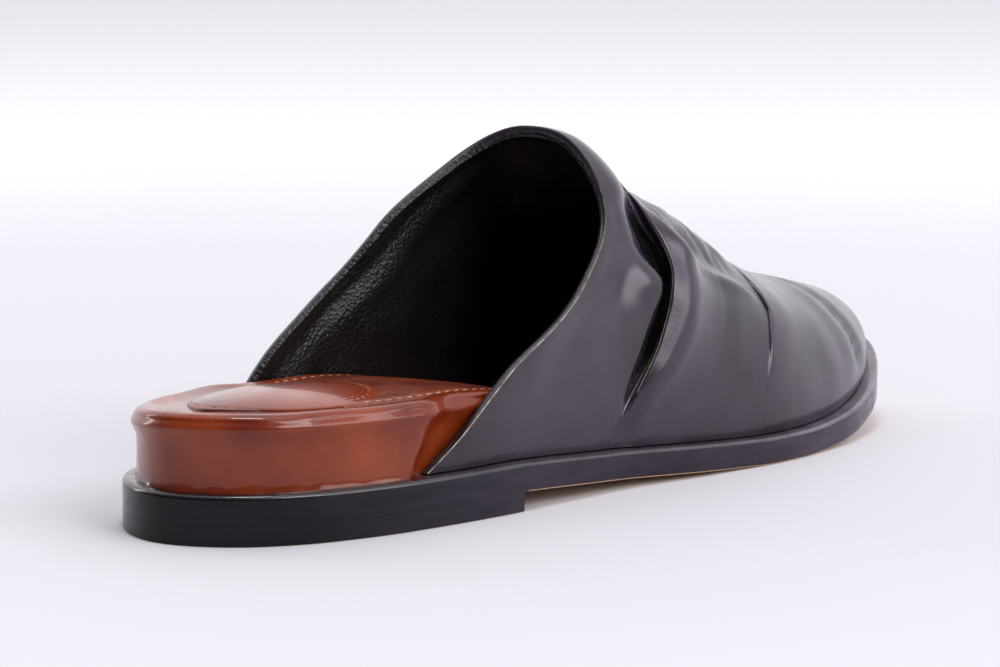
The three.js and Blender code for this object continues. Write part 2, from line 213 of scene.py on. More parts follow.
def cloudy(nodes, links, place, scale, detail=4, stretch=(1, 1, 1)):
    """Cloudy pattern, its patches per metre, drawn out by its stretch."""
    mapping = nodes.new("ShaderNodeMapping")
    mapping.inputs["Scale"].default_value = stretch
    links.new(place, mapping.inputs["Vector"])
    cloud = nodes.new("ShaderNodeTexNoise")
    cloud.inputs["Scale"].default_value = scale
    cloud.inputs["Detail"].default_value = detail
    links.new(mapping.outputs["Vector"], cloud.inputs["Vector"])
    return cloud.outputs["Fac"]


def pebbled(nodes, links, place, scale):
    """Cells of a leather's grain, per metre."""
    cells = nodes.new("ShaderNodeTexVoronoi")
    cells.inputs["Scale"].default_value = scale
    links.new(place, cells.inputs["Vector"])
    return cells.outputs["Distance"]


def shades(nodes, links, source, stops):
    """Colours or greys spread over a pattern."""
    ramp = nodes.new("ShaderNodeValToRGB")
    while len(ramp.color_ramp.elements) < len(stops):
        ramp.color_ramp.elements.new(0.5)
    for element, (position, colour) in zip(ramp.color_ramp.elements, stops):
        element.position = position
        element.color = (*colour, 1) if isinstance(colour, tuple) else (colour, colour, colour, 1)
    links.new(source, ramp.inputs["Fac"])
    return ramp.outputs["Color"]


def relief(nodes, links, shader, layers):
    """Bump from several patterns, each with its height in metres."""
    before = None
    for source, height in layers:
        bump = nodes.new("ShaderNodeBump")
        bump.inputs["Strength"].default_value = 1
        bump.inputs["Distance"].default_value = height
        links.new(source, bump.inputs["Height"])
        if before:
            links.new(before, bump.inputs["Normal"])
        before = bump.outputs["Normal"]
    links.new(before, shader.inputs["Normal"])


def multiplied(nodes, links, colour, tone):
    """One colour darkened or lightened by another."""
    mixed = nodes.new("ShaderNodeMix")
    mixed.data_type = "RGBA"
    mixed.blend_type = "MULTIPLY"
    mixed.inputs["Factor"].default_value = 1
    links.new(colour, mixed.inputs[6])
    links.new(tone, mixed.inputs[7])
    return mixed.outputs[2]


def toned_along(nodes, links, place, axis, start, finish, stops):
    """Tones along one axis of the object, from a place to another in metres."""
    parts = nodes.new("ShaderNodeSeparateXYZ")
    links.new(place, parts.inputs["Vector"])
    share = nodes.new("ShaderNodeMath")
    share.operation = "MULTIPLY_ADD"
    links.new(parts.outputs[axis], share.inputs[0])
    share.inputs[1].default_value = 1 / (finish - start)
    share.inputs[2].default_value = -start / (finish - start)
    return shades(nodes, links, share.outputs["Value"], stops)


def arc(count, start=0.0):
    """Shares across and up of a quarter round, from its foot to its top."""
    angles = np.linspace(start, 1, count) * math.pi / 2
    return list(zip(1 - np.cos(angles), np.sin(angles)))


inked_edge, nodes, links, shader, place = new_leather(
    "inked_sole_edge", (0.006, 0.005, 0.008), 0.3, Specular_IOR_Level=0.12, Coat_Weight=0.25,
    Coat_Roughness=0.08)
streaks = cloudy(nodes, links, place, 60, stretch=(1, 1, 9))
ink = shades(nodes, links, streaks, [(0.3, (0.020, 0.016, 0.024)), (0.75, (0.042, 0.035, 0.049))])
# The edge is painted darker round the heel and lighter toward the toe: painted shade and painted
# reflection where it faces dark or bright surroundings.
rub_and_painted_light = toned_along(nodes, links, place, "Y", -0.14, 0.14, [
    (0.1, (0.12, 0.12, 0.17)), (0.3, (0.8, 0.74, 0.84)), (0.5, (0.75, 0.66, 0.78)),
    (0.85, (1.7, 1.4, 1.7))])
links.new(multiplied(nodes, links, ink, rub_and_painted_light), shader.inputs["Base Color"])
links.new(shades(nodes, links, cloudy(nodes, links, place, 240), [(0.3, 0.2), (0.7, 0.38)]),
          shader.inputs["Roughness"])
relief(nodes, links, shader, [
    (streaks, 0.06 * mm), (cloudy(nodes, links, place, 900, stretch=(1, 1, 0.25)), 0.03 * mm)])

# The ledge, the sole's upturned top face beside the upper, gets a lighter copy of the inked edge: a
# painted highlight, brighter still toward the toe and darker round the heel as painted shade.
ledge_painted_highlight, nodes, links, shader, place = new_leather(
    "ledge_painted_highlight", (0.03, 0.027, 0.034), 0.32, Coat_Weight=0.4, Coat_Roughness=0.1)
ledge_ink_and_highlight = shades(nodes, links, cloudy(nodes, links, place, 120, detail=6), [
    (0.3, (0.045, 0.038, 0.048)), (0.72, (0.125, 0.105, 0.128))])
ledge_painted_light = toned_along(nodes, links, place, "Y", -0.14, 0.14, [
    (0.1, (0.12, 0.1, 0.11)), (0.35, (0.3, 0.26, 0.3)), (0.6, (0.6, 0.55, 0.6)),
    (0.9, (1.3, 1.15, 1.3))])
links.new(multiplied(nodes, links, ledge_ink_and_highlight, ledge_painted_light), shader.inputs["Base Color"])
links.new(shades(nodes, links, cloudy(nodes, links, place, 300), [(0.3, 0.2), (0.7, 0.4)]),
          shader.inputs["Roughness"])
relief(nodes, links, shader, [(cloudy(nodes, links, place, 700), 0.04 * mm)])

tan_leather, nodes, links, shader, place = new_leather("tan_sole_leather", (0.55, 0.33, 0.18), 0.62)
fibres = cloudy(nodes, links, place, 90, detail=8)
links.new(shades(nodes, links, fibres, [(0.3, (0.52, 0.30, 0.15)), (0.7, (0.68, 0.44, 0.25))]),
          shader.inputs["Base Color"])
relief(nodes, links, shader, [(fibres, 0.08 * mm), (cloudy(nodes, links, place, 2200), 0.03 * mm)])

# Both corners of the edge are softened, but under the heel the lower one closes on the lift.
top_corner = 1.1
bottom_corner = 0.7
closed_corner = 0.02
corner_fade = 1.5
past_lift = 1
flat_inset = 4
under_heel = ease((heel_length + past_lift - round_stations * sole_length) / corner_fade)
low_corner = mix(bottom_corner, closed_corner, under_heel)
sole_rings = [ring(low_corner, sole_bottom, share) for share in (1, 0.75, 0.5, 0.25, 0.08)]
for across, up in arc(4):
    corner_row = ring(low_corner * (1 - up), sole_bottom)
    corner_row[:, 2] += low_corner * across
    sole_rings.append(corner_row)
for share in (0.25, 0.5, 0.75):
    rise = mix(bottom_corner, sole_thickness - top_corner, share)
    sole_rings.append(ring(0, lambda along: sole_bottom(along) + rise))
for across, up in arc(6):
    sole_rings.append(ring(top_corner * across, lambda along: sole_top(along) - top_corner * (1 - up)))
for inset in (1.6, 2.4, flat_inset):
    sole_rings.append(ring(inset, sole_top))
for share in (0.25, 0.5, 0.75, 1):
    sole_rings.append(ring(flat_inset, sole_top, share))
outsole = wrap("outsole_dressed", sole_rings)
outsole.data.materials.append(inked_edge)
outsole.data.materials.append(tan_leather)
outsole.data.materials.append(ledge_painted_highlight)
# Faces turned up on the ledge take its lighter copy, a painted highlight.
for face in outsole.data.polygons:
    in_front = face.center.y > (heel_length + past_lift - sole_length / 2) * mm
    underneath = face.normal.z < -0.45 and in_front
    on_ledge = face.normal.z > 0.4
    face.material_index = 1 if underneath else 2 if on_ledge else 0
settle(outsole, "outsole")


# Heel lift: a low block of the same leather, inked black with the sole edge and nailed on
# under the heel. Only its underside, which stands on the floor, is left natural tan.

heel_stations = (1 - np.cos(np.linspace(0, 1, 60) * math.pi / 2)) * heel_length / sole_length
lift_at = np.concatenate([heel_stations, heel_stations[::-1]])
lift_sides = np.repeat([1, -1], len(heel_stations))

# Rows from under its middle, round the edge and over to the middle again: how far in, how
# high, and how near the middle.
lift_profile = [
    (0.4, 0, 1), (0.4, 0, 0.5), (0.4, 0, 0.05), (0.4, 0, 0), (0.12, 0.12, 0), (0, 0.4, 0), (0, 0.9, 0),
    (0, 2.2, 0), (0, 3.6, 0), (0, heel_height - 0.2, 0), (0, heel_height - closed_corner, 0),
    (1, heel_height, 0.02), (1, heel_height, 0.5), (1, heel_height, 1)]
lift_rings = [ring(inset, height, share, lift_at, lift_sides) for inset, height, share in lift_profile]
heel_lift = wrap("heel_lift_dressed", lift_rings)
heel_lift.data.materials.append(inked_edge)
heel_lift.data.materials.append(tan_leather)
for face in heel_lift.data.polygons:
    face.material_index = 1 if face.normal.z < -0.8 else 0
settle(heel_lift, "heel_lift")


# Footbed: a thick block of cork wrapped in polished cognac leather. The wrap is pulled
# over a rounded rim and gathered under the block, where small pleats show.

footbed_height = 17
footbed_profile = [(0, 1), (0.25, 1), (0.35, 0.87), (0.46, 0.6), (0.66, 0.42), (0.85, 0.36), (1, 0.34)]
ledge = 2.4
feather = 3.2
wall = 2.2
toe_draw = 5
inside_gap = 0.9
rim = 2.7
side_depth = 14
bedding = 0.1
side_wave = 0.3
top_wave = 0.35
lean_drop = 1.8
lean_start = 8
lean_width = 38

# Where the side turns in under the mouth: its start and its finish, each at foot and rim.
outer_turn = [(49.6, 54.2), (52.2, 64.4)]
inner_turn = [(39, 42), (42.5, 52)]
footbed_share = fair_curve(footbed_profile)


def footbed_top(along):
    """Height of the wrapped block's upper face, before it leans."""
    return sole_top(along) + gap + footbed_height * footbed_share(along / sole_length)


def lean(row, share=1.0):
    """Lowers a row a little toward the inner side, as the block does."""
    row[:, 2] -= lean_drop * share * ease((heel_centre + lean_start - row[:, 0]) / lean_width)
    return row


def toe_inset(station):
    """How far in a piece stands inside the upper, with more room toward the toe."""
    toe = ease((station * sole_length - ball_end) / (sole_length - ball_end))
    return feather + wall + inside_gap + toe_draw * toe


def footbed_inset(height):
    """How far in the wrapped side stands: it turns in under the mouth, foot first."""
    outer = [mix(foot, top, height) for foot, top in outer_turn]
    inner = [mix(foot, top, height) for foot, top in inner_turn]
    start = np.where(round_sides > 0, outer[0], inner[0])
    finish = np.where(round_sides > 0, outer[1], inner[1])
    turned = ease((round_stations * sole_length - start) / (finish - start))
    return mix(ledge, toe_inset(round_stations), turned)


around = np.where(round_sides > 0, round_stations, 2 - round_stations) * sole_length
wave = np.array([noise.noise(Vector((value / 17, 0.3, 5))) for value in around])
ripple = np.array([noise.noise(Vector((value / 2.1, 4.3, 1))) for value in around])
footbed_rings = [ring(footbed_inset(0), sole_top, share) for share in (1, 0.5, 0.1)]
footbed_rings[0][:, 2] -= bedding
side_heights = np.concatenate([
    np.linspace(0, 0.3, 10), np.linspace(0.34, 0.76, 9), np.linspace(0.79, 1, 12)])
for height in side_heights:
    drop = (1 - height) * side_depth + rim
    groove = 0.16 * hump(drop, rim + 1.6, 0.7) * np.clip(0.6 + 1.6 * wave, 0, 1.4)
    belly = 0.2 * math.sin(math.pi * height)
    pleats = 0.28 * ripple * math.exp(-height * 10)
    under_rim = 0.75 * ease((drop - rim - 1) / 3.5) - 0.35 * hump(drop, rim + 0.7, 1.1)
    roll = -0.25 * math.exp(-height * 18)
    inset = footbed_inset(height) + belly + groove + pleats + roll + under_rim + side_wave * wave
    side_row = ring(inset, lambda along: mix(sole_top(along), footbed_top(along) - rim, height))
    footbed_rings.append(lean(side_row, height))
for across, up in arc(14)[1:]:
    shoulder = 0.34 * hump(up, 0.42, 0.16) * np.clip(0.7 + 2.2 * wave, 0, 1.3)
    inset = footbed_inset(1) + rim * across + side_wave * wave * (1 - up) + shoulder
    rim_row = ring(inset, lambda along: footbed_top(along) - rim * (1 - up))
    rim_row[:, 2] += top_wave * wave * up
    footbed_rings.append(lean(rim_row))

# Inside the rim the top dips a little: how far in from the rim, and how deep.
dips = [(0.8, 0.05), (2, 0.25), (3.5, 0.5), (6, 0.8)]
dip_width, dip_depth = dips[-1]
for inset, dip in dips:
    dipped_row = ring(footbed_inset(1) + rim + inset, lambda along: footbed_top(along) - dip)
    dipped_row[:, 2] += top_wave * wave * (1 - inset / dip_width)
    footbed_rings.append(lean(dipped_row))
for share in (0.3, 0.6, 1):
    middle_row = ring(footbed_inset(1) + rim + dip_width,
                      lambda along: footbed_top(along) - dip_depth - 0.3 * share, share)
    footbed_rings.append(lean(middle_row))
footbed = wrap("footbed_dressed", footbed_rings)

cognac, nodes, links, shader, place = new_leather(
    "polished_cognac_leather", (0.2, 0.04, 0.014), 0.3, Specular_IOR_Level=0.2, Coat_Weight=0.5,
    Coat_Roughness=0.05)
cloud = cloudy(nodes, links, place, 38, detail=6)
links.new(shades(nodes, links, cloud, [(0.32, (0.125, 0.012, 0.003)), (0.7, (0.30, 0.046, 0.007))]),
          shader.inputs["Base Color"])
links.new(shades(nodes, links, cloudy(nodes, links, place, 160), [(0.3, 0.2), (0.7, 0.34)]),
          shader.inputs["Roughness"])
relief(nodes, links, shader, [
    (cloudy(nodes, links, place, 55, detail=3), 0.5 * mm),
    (cloudy(nodes, links, place, 1500, detail=2), 0.02 * mm)])
footbed.data.materials.append(cognac)
settle(footbed, "footbed")


# Insole cover: thin cognac leather cut to an oval at the heel, its edge turned and sewn
# down to the footbed with one row of stitches.

oval_end = 45
oval_fade = 30
inside_margin = 3.4
cover_along = round_stations * sole_length
heel_inset = mix(15, 9.5, ease(cover_along / 62))
past_oval = ease((cover_along - oval_end) / oval_fade)
cover_inset = mix(heel_inset, toe_inset(round_stations) + inside_margin, past_oval)


def cover_rest(along):
    """Height of the cover beside the footbed's rim: it lies in a shallow dip at the heel."""
    return mix(-1.15, -0.8, ease((along - oval_end) / oval_fade))


def cover_row(inset, rise, share=0.0):
    """One row of the cover: how far in from its edge, how high over its rest, how near its middle."""
    def level(along):
        return footbed_top(along) + cover_rest(along) + rise
    return lean(ring(cover_inset + inset, level, share))


cover_rings = [cover_row(0.3, -0.6, share) for share in (1, 0.5, 0.1, 0)]
cover_rings += [cover_row(0, -0.3), cover_row(0, 0.2)]
turned_radius = 0.5
cover_rings += [cover_row(turned_radius * across, 0.2 + turned_radius * up) for across, up in arc(4)[1:]]

# The stitches pull a shallow channel just inside the edge: how far in, and how high.
channel = [
    (0.9, 0.71), (1.4, 0.69), (1.8, 0.52), (2.2, 0.46), (2.6, 0.56), (3.2, 0.78), (5, 0.8), (8, 0.75)]
cover_rings += [cover_row(inset, rise) for inset, rise in channel]
cover_rings += [cover_row(*channel[-1], share) for share in (0.3, 0.6, 1)]
insole_cover = wrap("insole_cover_dressed", cover_rings)
cover_leather, nodes, links, shader, place = new_leather(
    "creased_cognac_leather", (0.2, 0.04, 0.014), 0.32, Specular_IOR_Level=0.4, Coat_Weight=0.15,
    Coat_Roughness=0.22)
links.new(shades(nodes, links, cloudy(nodes, links, place, 60, detail=6), [
    (0.32, (0.085, 0.010, 0.004)), (0.7, (0.22, 0.036, 0.009))]), shader.inputs["Base Color"])
links.new(shades(nodes, links, cloudy(nodes, links, place, 160), [(0.3, 0.27), (0.7, 0.45)]),
          shader.inputs["Roughness"])
relief(nodes, links, shader, [
    (cloudy(nodes, links, place, 180, detail=5, stretch=(1, 0.6, 1)), 0.8 * mm),
    (pebbled(nodes, links, place, 900), 0.08 * mm)])
insole_cover.data.materials.append(cover_leather)
settle(insole_cover, "insole_cover")

# Stitches: one is modelled, and a copy is laid every few millimetres along the cover's
# edge, from the heel to as far as the mouth lets them be seen.
stitch_inset = 2.1
stitch_pitch = 2.9
stitch_radius = 0.32
stitch_length = 1.0
stitch_end = 0.42
stitch_dip = 0.14
last_stitch = 132
bpy.ops.object.select_all(action="DESELECT")
bpy.ops.mesh.primitive_cylinder_add(
    vertices=8, radius=stitch_radius * mm, depth=stitch_length * mm, rotation=(0, math.pi / 2, 0))
stitch = bpy.context.active_object
bpy.ops.object.transform_apply(location=True, rotation=True, scale=True)
for end in (1, -1):
    bpy.ops.object.mode_set(mode="EDIT")
    bpy.ops.mesh.select_all(action="DESELECT")
    bpy.ops.object.mode_set(mode="OBJECT")
    for face in stitch.data.polygons:
        face.select = face.center.x * end > 0.4 * stitch_length * mm
    bpy.ops.object.mode_set(mode="EDIT")
    bpy.ops.mesh.select_mode(type="FACE")
    bpy.ops.mesh.extrude_region_move(
        TRANSFORM_OT_translate={"value": (stitch_end * end * mm, 0, -stitch_dip * mm)})
    bpy.ops.transform.resize(value=(1, 0.55, 0.55))
    bpy.ops.object.mode_set(mode="OBJECT")
bpy.ops.object.shade_smooth_by_angle(angle=math.radians(50))
line = cover_row(stitch_inset, 0.5)
run = np.concatenate([[0], np.cumsum(np.linalg.norm(np.diff(line, axis=0), axis=1))])
seats = []
for at in np.arange(0.5, run[-1], stitch_pitch):
    seat = np.array([np.interp(at, run, line[:, k]) for k in range(3)])
    if seat[1] + sole_length / 2 < last_stitch:
        ahead = np.array([np.interp(at + 0.4, run, line[:, k]) for k in range(3)]) - seat
        seats.append((seat, ahead / np.linalg.norm(ahead)))
pattern = np.array([vertex.co[:] for vertex in stitch.data.vertices])
stitches = []
for seat, ahead in seats:
    bpy.ops.object.select_all(action="DESELECT")
    stitch.select_set(True)
    bpy.context.view_layer.objects.active = stitch
    bpy.ops.object.duplicate()
    copy = bpy.context.active_object
    side = np.cross((0, 0, 1), ahead)
    side /= np.linalg.norm(side)
    up = np.cross(ahead, side)
    laid = seat * mm + pattern @ np.array([ahead, side, up])
    copy.data.vertices.foreach_set("co", laid.ravel())
    stitches.append(copy)
bpy.data.objects.remove(stitch)
bpy.ops.object.select_all(action="DESELECT")
for copy in stitches:
    copy.select_set(True)
bpy.context.view_layer.objects.active = stitches[0]
bpy.ops.object.join()
cover_stitches = bpy.context.active_object
cover_stitches.name = "cover_stitches"
thread, nodes, links, shader, place = new_leather("waxed_brown_thread", (0.45, 0.17, 0.08), 0.5)
links.new(shades(nodes, links, cloudy(nodes, links, place, 900), [
    (0.3, (0.34, 0.11, 0.05)), (0.7, (0.60, 0.27, 0.14))]), shader.inputs["Base Color"])
relief(nodes, links, shader, [(cloudy(nodes, links, place, 2500), 0.05 * mm)])
cover_stitches.data.materials.append(thread)
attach(cover_stitches, "root")


# Heel cushion: a foam oval that lifts the cover's leather into a low dome. The leather is
# drawn down round it and creases along its front.

cushion_middle = 41.5
cushion_aside = 0.3
cushion_half_length = 22.5
cushion_half_width = 20.8
cushion_height = 2.2
cover_thickness = 0.78
cushion_round = np.linspace(0, 2 * math.pi, 161)
front_side = ease(np.sin(cushion_round) * 1.6 + 0.1)
cushion_rings = [(0, -0.5), (0.6, -0.5), (0.995, -0.5), (1, -0.25)]
for share in np.concatenate([np.linspace(0.985, 0.7, 26), np.linspace(0.66, 0, 14)]):
    rise = cushion_height * (1 - share ** 2.6) ** 0.9 - 0.12
    seams = 0.3 * hump(share, 0.93, 0.014) + 0.34 * hump(share, 0.86, 0.016)
    seams += 0.22 * hump(share, 0.79, 0.014)
    puckers = 0.1 * np.sin(cushion_round * 46 + 3 * np.sin(cushion_round * 5)) * hump(share, 0.9, 0.06)
    cushion_rings.append((share, rise - seams * front_side + puckers * (0.3 + front_side)))
laid_rings = []
for share, rise in cushion_rings:
    along = cushion_middle + cushion_half_length * share * np.sin(cushion_round)
    across = heel_centre + cushion_aside + cushion_half_width * share * np.cos(cushion_round)
    height = footbed_top(along) + cover_rest(along) + cover_thickness + rise
    laid_rings.append(lean(np.column_stack([across, along - sole_length / 2, height])))
heel_cushion = wrap("heel_cushion_dressed", laid_rings)
heel_cushion.data.materials.append(cognac)
settle(heel_cushion, "heel_cushion")


# Upper: soft black leather and a black lining, draped over the last. On its outer side the
# front part laps over the back part in a tuck, with a softer tuck ahead of it. Its mouth
# edge is left raw and pale.

crown_height = 76
crown_lean = -6.7
upper_end = sole_length - feather
mouth_base = 50
mouth_apex = 130.4
fullness = (0.85, 0.88)
roundness = (0.7, 0.8)
crown = [
    (-0.6, 0.95), (-0.25, 0.99), (0, 1), (0.15, 0.81), (0.3, 0.685), (0.45, 0.565), (0.6, 0.452),
    (0.75, 0.36), (0.87, 0.265), (0.945, 0.18), (1, 0)]
outer_mouth = [(0, 0.072), (0.27, 0.387), (0.52, 0.764), (0.72, 0.929), (0.88, 0.979), (1, 1)]
inner_mouth = [(0, -0.046), (0.27, 0.141), (0.52, 0.445), (0.72, 0.639), (0.88, 0.858), (1, 1)]

# Each tuck's edge ahead of the mouth's apex, and its strength, by degrees round the foot.
rear_edge = [
    (0, -9.4), (5, -3), (12, 4.6), (22, 10), (34, 13), (46, 12), (60, 11), (78, 11.6), (96, 12.6),
    (180, -2.4)]
rear_strength = [
    (0, 0), (2, 0.05), (5, 0.5), (9, 0.9), (22, 1), (34, 1), (42, 1), (47, 0.8), (53, 0.3), (60, 0.05),
    (76, 0), (180, 0)]
front_edge = [
    (0, 40.6), (10, 43), (22, 47.3), (36, 51.8), (52, 53), (72, 54.2), (100, 55), (180, 49.6)]
front_strength = [
    (0, 0), (10, 0.2), (16, 0.55), (22, 0.85), (36, 0.9), (52, 0.55), (72, 0.15), (100, 0), (180, 0)]

# Section of each tuck in millimetres: where the flat leather goes, and its rise. The
# front part's cut edge lies over the back part, which dips into a pocket under it.
rear_shift = [
    (-13, -13), (-9, -8.6), (-7, -6), (-5, -3.2), (-3.6, -0.4), (-2.6, 1.5), (-2.1, 1.8), (-1.7, 1.1),
    (-1.2, -0.3), (-0.8, -1.1), (-0.62, -1.3), (-0.35, -1.3), (-0.2, -1.1), (0.3, -0.3), (2, 1.6), (7, 7),
    (14, 14), (20, 20)]
pocket_lip = -2.6
rear_rise = [
    (pocket_lip, -3.1), (-2.1, -2.4), (-1.7, -1.0), (-1.2, 0.1), (-0.8, 0.6), (-0.62, 0.8), (-0.35, 1.3),
    (-0.2, 1.6), (0.3, 1.95), (1.2, 2.4), (3, 2.95), (5.5, 2.9), (10, 1.7), (15, 0.6), (20, 0)]
rear_lining = [(-13, 0), (-8.5, -0.6), (-5, -1.4), (-3, -1.9), (0, -1.4), (2, -0.6), (7, 0), (20, 0)]
pocket_width = [
    (0, 2), (6, 5), (12, 6), (18, 4.8), (23, 3.4), (26, 3.8), (30, 10), (34, 13.5), (42, 13.5), (52, 8),
    (60, 5), (96, 4), (180, 4)]
front_shift = [(-12, -12), (-5, -5), (-1.2, -0.9), (-0.3, 0), (0.3, 0.05), (1.2, 0.9), (7, 7), (14, 14)]
front_rise = [
    (-12, 0), (-6, -0.3), (-1.6, -0.45), (-0.4, -0.45), (0.3, 0.1), (1.2, 0.35), (7, 0.3), (14, 0)]
front_lining = [(-12, 0), (-5, -0.3), (-1.2, -0.6), (0.4, -0.3), (2.5, 0), (14, 0)]


def feather_half(side):
    """Half width of one side inside the feather line, by distance along the sole."""
    at = (1 - np.cos(np.linspace(0, 1, 91) * math.pi)) / 2
    place = edge_place(at, np.full(len(at), side), np.full(len(at), feather))
    half = np.abs(place[:, 0] - centre_line(place[:, 1]))
    half[0] = half[-1] = 0
    return fair_curve(list(zip(place[:, 1], half)), True)


outer_feather = feather_half(1)
inner_feather = feather_half(-1)
crown_share = fair_curve(crown, True)


def last_surface(along, turn):
    """Places on the draped leather, by distance along and turn round the foot."""
    reach = np.minimum(along, upper_end - 0.001)
    outer = centre_line(reach) + outer_feather(reach)
    inner = centre_line(reach) - inner_feather(reach)
    ahead = (reach - mouth_apex) / (upper_end - mouth_apex)
    toe = np.clip(ahead, 0, 1)
    sine = np.maximum(np.sin(turn), 0)
    cosine = np.cos(turn)
    across = np.sign(cosine) * np.abs(cosine) ** mix(*fullness, toe)
    up = sine ** mix(*roundness, toe)
    x = (outer + inner) / 2 + (outer - inner) / 2 * across + crown_lean * (1 - toe) ** 2 * sine ** 2
    z = sole_top(reach) + gap + crown_height * crown_share(ahead) * up
    return np.stack([x, reach - sole_length / 2, z], -1)


def last_normal(along, turn):
    """Directions straight out of the draped leather."""
    step = 0.2
    swing = 0.01
    place = np.minimum(along, upper_end - 2 * step)
    turn = np.clip(turn, swing, math.pi - swing)
    ahead = last_surface(place + step, turn) - last_surface(place - step, turn)
    around = last_surface(place, turn + swing) - last_surface(place, turn - swing)
    out = np.cross(ahead, around)
    return out / np.linalg.norm(out, axis=-1, keepdims=True)


# The leather is laid out flat first: columns go round the foot, rows from mouth to toe.
columns = 150
turns = np.linspace(0, math.pi, columns + 1)
angles = np.degrees(turns)
up_side = np.sin(turns) ** roundness[0]
mouth_share = np.where(
    turns < math.pi / 2, fair_curve(outer_mouth)(up_side), fair_curve(inner_mouth)(up_side))
starts = mix(mouth_base, mouth_apex, mouth_share)
rows_along = []
rows_out = []
rows_in = []


def lay_rows(along, outside=0.0, inside=0.0):
    """One row of the sheet: how far along, and how far its two faces stand off the last."""
    rows_along.append(along + np.zeros(columns + 1))
    rows_out.append(outside + np.zeros(columns + 1))
    rows_in.append(inside + np.zeros(columns + 1))


def lay_fold(edge, strength, shift, rise, lining, flats, room, pocket=None):
    """The rows of one tuck, gathered at its edge and squeezed where the room is short."""
    for flat in flats:
        offset = mix(flat, shift(flat), strength)
        shrink = mix(1, room / -flats[0], np.clip((-offset - 2) / 6, 0, 1))
        near = np.where(offset < -2, offset * shrink, offset)
        height = rise(flat) * strength
        if pocket is not None and flat < pocket_lip:
            height = rise(pocket_lip) * strength * ease(1.1 * (1 + near / pocket))
        lay_rows(edge + near, height, lining(flat) * strength)


# How far each tuck reaches behind and ahead of its edge, and its rows, close at the edge.
rear_behind = 13
rear_ahead = 20
front_behind = 12
front_ahead = 14
rear_flats = np.concatenate([
    np.linspace(-rear_behind, -5.6, 12), np.linspace(-5.2, -2.7, 9), np.linspace(pocket_lip, 0.2, 25),
    np.linspace(0.4, 2, 6), np.linspace(2.8, rear_ahead, 20)])
front_flats = np.concatenate([
    np.linspace(-front_behind, -3, 8), np.linspace(-2.4, 2.4, 15), np.linspace(3.4, front_ahead, 9)])
rear_at = mouth_apex + fair_curve(rear_edge)(angles)
front_at = mouth_apex + fair_curve(front_edge)(angles)
room_share = 0.75
rear_room = np.minimum(rear_behind, (rear_at - starts) * room_share)
back_part = rear_at - rear_room - starts
near_mouth = np.array([0, 0.4, 0.8, 1.3, 1.8, 2.2, 2.6, 3.0, 3.6, 4.5, 6])
squeeze = np.minimum(1, back_part / 12)
for step in near_mouth:
    lay_rows(starts + step * squeeze)
margin = near_mouth[-1] * squeeze
for step in np.linspace(0, 1, 14)[1:-1]:
    lay_rows(starts + margin + (back_part - margin) * step)
first_fold_row = len(rows_along)
rear_power = fair_curve(rear_strength)(angles)
lay_fold(rear_at, rear_power, fair_curve(rear_shift), fair_curve(rear_rise), fair_curve(rear_lining),
         rear_flats, rear_room, fair_curve(pocket_width)(angles))
front_room = np.minimum(front_behind, (front_at - rear_at - rear_ahead) * room_share)
for step in np.linspace(0, 1, 12)[1:-1]:
    lay_rows(mix(rear_at + rear_ahead, front_at - front_room, step))
lay_fold(front_at, fair_curve(front_strength)(angles), fair_curve(front_shift), fair_curve(front_rise),
         fair_curve(front_lining), front_flats, front_room)
for step in np.sin(np.linspace(0, math.pi / 2, 41))[1:]:
    lay_rows(mix(front_at + front_ahead, upper_end, step))
along_grid = np.array(rows_along)
out_grid = np.array(rows_out)
in_grid = np.array(rows_in)
rows = len(rows_along) - 1
turn_grid = np.broadcast_to(turns, along_grid.shape)
angle_grid = np.degrees(turn_grid)
ahead_grid = along_grid - mouth_apex


def sag(depth, middle, reach, turn, spread):
    """Long dent or crest between the tucks, by distance ahead of the apex and turn."""
    lengthwise = 1 - np.clip(np.abs(ahead_grid - middle) / reach, 0, 1) ** 2
    return depth * lengthwise * ease(1 - np.abs(angle_grid - turn) / spread)


def noise_over(places):
    """Soft noise at each place of a grid."""
    values = [noise.noise(Vector(place)) for place in places.reshape(-1, 3)]
    return np.array(values).reshape(places.shape[:-1])


# Main creases, each a soft trough or ridge on the leather.
hollow = sag(1.1, 34, 19, 50, 11)
crest = sag(2.4, 33, 21, 68, 26)
toe_line = fair_curve([(0, 228), (23, 226), (39, 224), (63, 221), (90, 217), (180, 205)])(angle_grid)
toe_fade = ease(angle_grid / 16) * ease((105 - angle_grid) / 40)
creases = -0.7 * toe_fade * hump(along_grid, toe_line, 1.6)
before_line = 0.55 * toe_fade * hump(along_grid, toe_line - 6, 4)
past_line = 0.35 * toe_fade * hump(along_grid, toe_line + 5, 3.5)
creases += before_line + past_line
creases += 0.8 * hump(angle_grid, 39.5, 3.5) * ease((ahead_grid - 10) / 8) * ease((52 - ahead_grid) / 10)
side_fade = ease((angle_grid - 2) / 10) * ease((60 - angle_grid) / 30)
diagonal = along_grid - 1.1 * angle_grid
for middle, height in ((52, 0.7), (66, -0.65), (79, 0.6), (90, -0.5)):
    creases += height * side_fade * hump(diagonal, middle, 5)
base_places = last_surface(along_grid, turn_grid)
soft = noise_over(base_places / (26, 34, 26)) + 0.5 * noise_over(base_places / (11, 14, 11))
in_hollow = ease(hollow + 0.5 * crest)
across_hollow = np.stack([angle_grid / 9, along_grid / 2.6, np.full(along_grid.shape, 3)], -1)
wrinkle = np.where(in_hollow > 0.01, noise_over(across_hollow), 0)
mouth_away = along_grid - starts
collar = 0.5 * ease((angle_grid - 6) / 20) * hump(mouth_away, 5, 4)
collar -= 0.7 * ease((angle_grid - 8) / 20) * hump(mouth_away, 15, 5)

